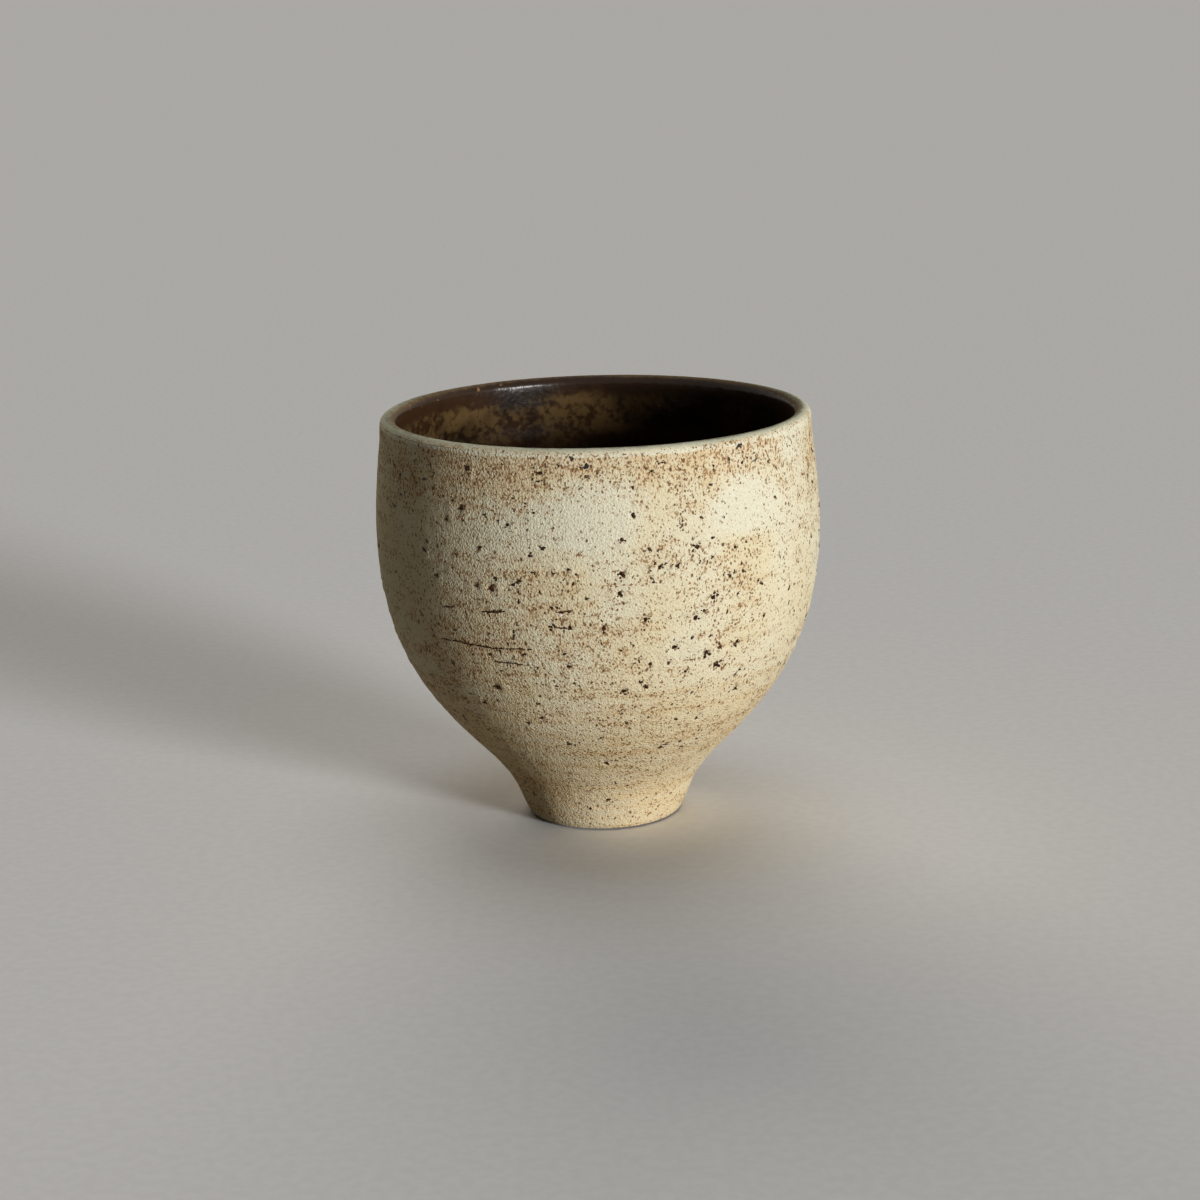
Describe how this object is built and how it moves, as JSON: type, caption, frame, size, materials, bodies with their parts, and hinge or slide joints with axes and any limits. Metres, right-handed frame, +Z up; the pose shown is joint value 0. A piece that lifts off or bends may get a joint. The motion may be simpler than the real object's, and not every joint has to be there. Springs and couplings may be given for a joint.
{
  "type": "rocks cup",
  "caption": "Handleless stoneware drinking cup: round belly drawn in to a plain lip, narrow turned foot, speckled cream slip outside and dark glossy glaze inside.",
  "frame": {"origin": "centre of the foot, on the ground", "axes": "+Z up along the cup's axis of revolution; X and Y are alike, since the cup is round"},
  "size_m": [0.088, 0.088, 0.082],
  "materials": {
    "clay": "bare fired stoneware, matt and slightly gritty",
    "slip": "matt cream slip with iron specks",
    "glaze": "glossy dark brown glaze, mottled ochre"
  },
  "bodies": {
    "root": {"stoneware_body": "clay", "slip_coat": "slip", "glaze_lining": "glaze"}
  },
  "joints": []
}
